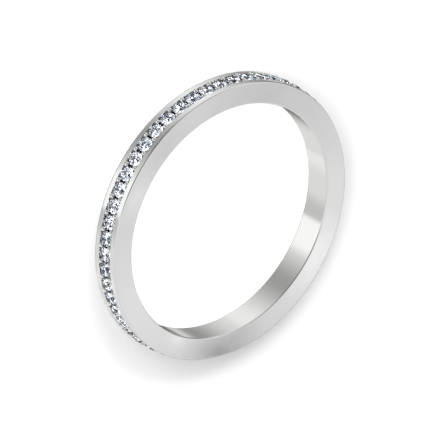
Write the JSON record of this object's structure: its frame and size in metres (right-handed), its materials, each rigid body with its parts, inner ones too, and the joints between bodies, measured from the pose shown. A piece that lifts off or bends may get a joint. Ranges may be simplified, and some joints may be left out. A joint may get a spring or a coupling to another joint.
{
  "type": "eternity ring",
  "caption": "Flat-sided finger ring with a closed row of small round brilliants set in a channel with shared beads, worn as a full eternity band.",
  "frame": {"origin": "centre of the finger hole in the plane of the lower side face, on which the ring lies", "axes": "+Z along the axis of the finger hole, out of the upper side face; +X through the middle of one stone"},
  "size_m": [0.0203, 0.0204, 0.002],
  "materials": {
    "white_gold": "polished white gold",
    "diamond": "cut and polished, clear"
  },
  "bodies": {
    "root": {"band": "white_gold", "stones": "diamond"}
  },
  "joints": []
}
